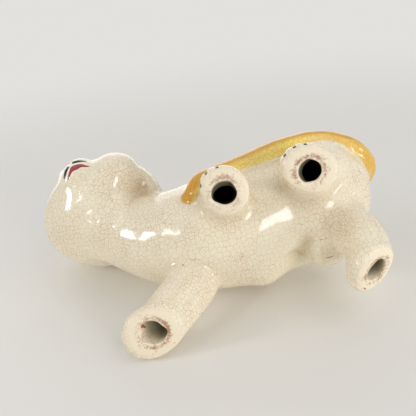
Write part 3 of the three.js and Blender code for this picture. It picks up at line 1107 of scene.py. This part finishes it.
class CAT_OT_face(bpy.types.Operator):
    """Paint the eyes, the nose and the mouth"""

    bl_idname = "cat.face"
    bl_label = "Face"

    def execute(self, context):
        tree = clay_tree()
        paint = colours()
        black = enamel("black_enamel", paint.black)
        white = enamel("white_enamel", paint.white)

        def front(across, up):
            return on_face(tree, across, up)

        def spread(middle, wide, tall, tilt=0.0, point=1.0):
            """An oval outline with its ends drawn to a point."""
            turn = math.radians(tilt)

            def outline(angle):
                x = wide * math.cos(angle)
                y = tall * math.copysign(abs(math.sin(angle)) ** point, math.sin(angle))
                return (
                    middle[0] + x * math.cos(turn) - y * math.sin(turn),
                    middle[1] + x * math.sin(turn) + y * math.cos(turn),
                )

            return outline

        whites, irises, pupils, glints, lines = [], [], [], [], []
        for side in (-1, 1):
            middle = np.array((FACE_LINE + side * EYE_APART, EYE_LEVEL))
            tilt = side * EYE_TILT
            whites.append(paint_patch(tree, front, spread(middle, 4.6, 3.4, tilt, EYE_POINT), 0.14))
            irises.append(paint_patch(tree, front, spread(middle + (0, 0.1), 2.7, 2.9), 0.22))
            pupils.append(paint_patch(tree, front, spread(middle + (0, 0.1), 1.0, 2.5), 0.3))
            glints.append(paint_patch(tree, front, spread(middle + (-0.7, 1.1), 0.5, 0.55), 0.4, 3, 16))
            for up, weight in ((1, 1.3), (-1, 0.7)):
                lid = []
                for angle in np.linspace(math.pi, 0, 11) * up:
                    x, y = spread(middle, 4.9, 3.7, tilt, EYE_POINT)(angle)
                    lid.append(front(x, y))
                lines.append(brush_stroke(tree, smooth_line(lid, 40), (0.4, weight, weight, 0.4), 0.3))
        painted("eye_whites", whites, white)
        painted("irises", irises, enamel("green_enamel", paint.green))
        painted("pupils", pupils, black)
        painted("eye_glints", glints, white)
        for pixels, widths in MUZZLE_LINES:
            lines.append(brush_stroke(tree, photo_line(tree, pixels, 40), widths, 0.2))
        lip = [front(FACE_LINE, NOSE_LEVEL - 1.4), seen_at(tree, LIP_PIXEL)]
        lip[1] = lip[0].lerp(lip[1], LIP_SHARE)
        lines.append(brush_stroke(tree, smooth_line(lip, 24), (0.8, 1.0, 1.2), 0.2))
        lines.append(brush_stroke(tree, photo_line(tree, HAUNCH_LINE, 16), (0.2, 0.5, 0.2), 0.1, 4))
        painted("black_lines", lines, black)
        teeth = brush_stroke(tree, photo_line(tree, TOOTH_LINE, 50), TOOTH_WIDTHS, 0.12)
        painted("teeth", [teeth], white)
        mouth = brush_stroke(tree, photo_line(tree, MOUTH_LINE, 50), MOUTH_WIDTHS, 0.2)
        painted("mouth", [mouth], enamel("red_enamel", paint.red))
        pink = enamel("pink_enamel", paint.pink)

        def nose(angle):
            """A triangle with round corners, its point down."""
            narrow = 1 - 0.6 * max(0.0, -math.sin(angle))
            return FACE_LINE + 3.4 * math.cos(angle) * narrow, NOSE_LEVEL + 2.1 * math.sin(angle)

        painted("nose", [paint_patch(tree, front, nose, 0.8)], pink)
        ears = [paint_patch(tree, front, spread(ear_place(ear), 2.6, 3.8), 0.1) for ear in EARS]
        painted("ear_pinks", ears, pink)
        return {"FINISHED"}


class CAT_OT_toe_lines(bpy.types.Operator):
    """Paint the lines between the toes"""

    bl_idname = "cat.toe_lines"
    bl_label = "Toe lines"

    def execute(self, context):
        tree = clay_tree(*(name.replace("leg", "sole") for name in SOLES))
        strokes = []
        for sole in SOLES.values():
            ahead, side, up = sole_axes(sole)
            for bearing in sole["grooves"]:
                turn = math.radians(bearing)
                way = ahead * math.cos(turn) + side * math.sin(turn)
                start = sole["hole"] + way * TOE_CLEAR
                heights = np.linspace(*sole["stroke"], 9)
                line = [struck(tree, start + up * height, -way) for height in heights]
                strokes.append(brush_stroke(tree, line, TOE_WIDTHS, cells=4))
        painted("toe_lines", strokes, bpy.data.materials["black_enamel"])

        def at_pixel(x, y):
            return seen_at(tree, (x, y))

        specks = []
        for x, y, radius in RUST_SPECKS:

            def blot(angle):
                """A speck with an uneven edge."""
                far = radius * (1 + 0.25 * math.sin(2 * angle + 1) + 0.2 * math.sin(3 * angle))
                return x + far * math.cos(angle), y + far * math.sin(angle)

            specks.append(paint_patch(tree, at_pixel, blot, 0.08, 3, 16))
        painted("rust_specks", specks, enamel("rust_enamel", colours().rust))
        return {"FINISHED"}


class CAT_OT_stage(bpy.types.Operator):
    """Set the floors, the lights and the camera"""

    bl_idname = "cat.stage"
    bl_label = "Stage"

    def execute(self, context):
        self.camera()
        self.floors()
        self.world()
        self.lamps()
        return {"FINISHED"}

    def camera(self):
        lens = bpy.data.cameras.new("camera")
        lens.sensor_width = 36
        lens.lens = 36 * FOCAL_PIXELS / PICTURE
        lens.clip_start = 0.01
        made = linked("camera", lens)
        turn = Matrix((CAMERA_RIGHT, CAMERA_UP, CAMERA_BACK)).transposed()
        made.matrix_world = Matrix.Translation(EYE * MM) @ turn.to_4x4()
        bpy.context.scene.camera = made

    def floors(self):
        """Paper under the lying cat and under the standing cat, each sheet showing on its upper side."""
        points = np.concatenate([rows_of(piece.data.vertices, "co", 3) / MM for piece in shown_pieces()])
        low = float((points @ np.array(LYING_UP)).min())
        for name, up, height, solid in (
            ("lying_floor", LYING_UP, low, True),
            ("standing_floor", Vector((0, 0, 1)), 0, False),
        ):
            mesh = bpy.data.meshes.new(name)
            corners = [(-1, -1, 0), (1, -1, 0), (1, 1, 0), (-1, 1, 0)]
            mesh.from_pydata([[c * FLOOR_REACH for c in corner] for corner in corners], [], [(0, 1, 2, 3)])
            mesh.materials.append(self.paper(name + "_paper", solid))
            made = linked(name, mesh)
            turn = up.to_track_quat("Z", "Y").to_matrix().to_4x4()
            made.matrix_world = Matrix.Translation(up * height * MM) @ turn
            made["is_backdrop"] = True

    def paper(self, name, solid):
        """Matt paper: a plain pale sheet that keeps the cat's shadow and fades out into the background."""
        material, tree = new_material(name)
        gone = add_node(tree, "NewGeometry").outputs["Backfacing"]
        path = add_node(tree, "LightPath").outputs
        unseen = path["Is Shadow Ray"] if solid else reckoned(tree, "SUBTRACT", 1.0, path["Is Camera Ray"])
        place = add_node(tree, "TexCoord").outputs["Object"]
        away = add_node(tree, "VectorMath", {0: place}, operation="LENGTH").outputs["Value"]
        near, far = FLOOR_REACH * 0.35, FLOOR_REACH * 0.95
        for share in (unseen, ramp(tree, away, near, far, interpolation_type="SMOOTHSTEP")):
            gone = reckoned(tree, "MAXIMUM", gone, share)
        sheet = add_node(tree, "BsdfDiffuse", {"Color": rgba(colours().floor)}).outputs[0]
        nothing = add_node(tree, "BsdfTransparent").outputs[0]
        faded = add_node(tree, "MixShader", {0: gone, 1: sheet, 2: nothing}).outputs[0]
        add_node(tree, "OutputMaterial", {"Surface": faded})
        return material

    def world(self):
        world = bpy.data.worlds.new("studio")
        bpy.context.scene.world = world
        world.use_nodes = True
        tree = world.node_tree
        tree.nodes.clear()
        path = add_node(tree, "LightPath").outputs
        seen = path["Is Camera Ray"]
        for ray in ("Is Glossy Ray", "Is Transmission Ray"):
            seen = reckoned(tree, "MAXIMUM", seen, path[ray])
        strength = ramp(tree, seen, 0.0, 1.0, SKY_LIGHT, 1.0)
        light = {"Color": rgba(colours().backdrop), "Strength": strength}
        sky = add_node(tree, "Background", light).outputs[0]
        add_node(tree, "OutputWorld", {"Surface": sky})

    def lamps(self):
        for name, direction, distance, wide, tall, power in LAMPS:
            lamp = bpy.data.lights.new(name, "AREA")
            lamp.shape = "RECTANGLE"
            lamp.size, lamp.size_y = wide * MM, tall * MM
            lamp.energy = power
            made = linked(name, lamp)
            made.location = (LAMP_TARGET + direction.normalized() * distance) * MM
            made.rotation_euler = direction.to_track_quat("Z", "Y").to_euler()


class CAT_PT_maker(bpy.types.Panel):
    """Lists the steps that make the cat"""

    bl_idname = "CAT_PT_maker"
    bl_label = "Crackle glazed cat"
    bl_space_type = "VIEW_3D"
    bl_region_type = "UI"
    bl_category = "Cat"

    def draw(self, context):
        for step in STEPS:
            self.layout.operator(step.bl_idname)


STEPS = (CAT_OT_clay_body, CAT_OT_soles, CAT_OT_tail, CAT_OT_face, CAT_OT_toe_lines, CAT_OT_stage)
CLASSES = (CatSizes, CatColours, *STEPS, CAT_PT_maker)


def register():
    for made in CLASSES:
        bpy.utils.register_class(made)
    bpy.types.Scene.cat_sizes = PointerProperty(type=CatSizes)
    bpy.types.Scene.cat_colours = PointerProperty(type=CatColours)


def unregister():
    del bpy.types.Scene.cat_colours
    del bpy.types.Scene.cat_sizes
    for made in reversed(CLASSES):
        bpy.utils.unregister_class(made)


def main():
    register()
    bpy.context.scene.view_settings.view_transform = "Standard"
    bpy.ops.cat.clay_body()
    bpy.ops.cat.soles()
    bpy.ops.cat.tail()
    bpy.ops.cat.face()
    bpy.ops.cat.toe_lines()
    bpy.ops.cat.stage()


if __name__ == "__main__":
    main()
